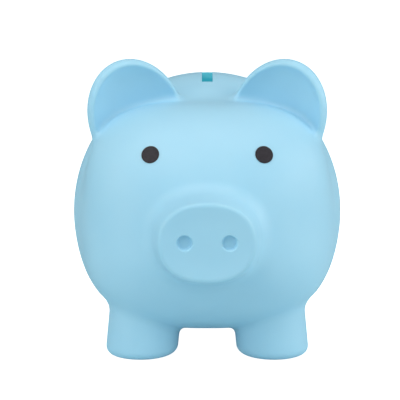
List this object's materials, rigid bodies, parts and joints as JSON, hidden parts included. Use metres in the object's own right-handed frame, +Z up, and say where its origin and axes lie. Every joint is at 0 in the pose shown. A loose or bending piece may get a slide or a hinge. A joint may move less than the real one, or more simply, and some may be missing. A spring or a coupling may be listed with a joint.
{
  "type": "piggy bank",
  "caption": "Hollow soft-vinyl pig money bank with leaf ears, round snout, stub legs, coin slot in the back and a pull-out belly stopper.",
  "frame": {"origin": "on the ground under the middle of the bank's bounding box", "axes": "+Z up, the pig looks along -Y, +X is the pig's own left side"},
  "size_m": [0.1072, 0.1299, 0.1141],
  "materials": {
    "body_shell": "semi-matte moulded soft vinyl, light blue",
    "eye_print_left": "matte printed ink, dark grey",
    "eye_print_right": "matte printed ink, dark grey",
    "belly_stopper": "natural milky soft plastic"
  },
  "bodies": {
    "bank": {"body_shell": "body_shell", "eye_print_left": "eye_print_left", "eye_print_right": "eye_print_right"},
    "stopper": {"belly_stopper": "belly_stopper"}
  },
  "joints": [
    {"name": "stopper_pull", "type": "slide", "parent": "bank", "child": "stopper", "axis": [0, 0, -1], "range_m": [0, 0.03], "stiffness_N_per_m": 600}
  ]
}
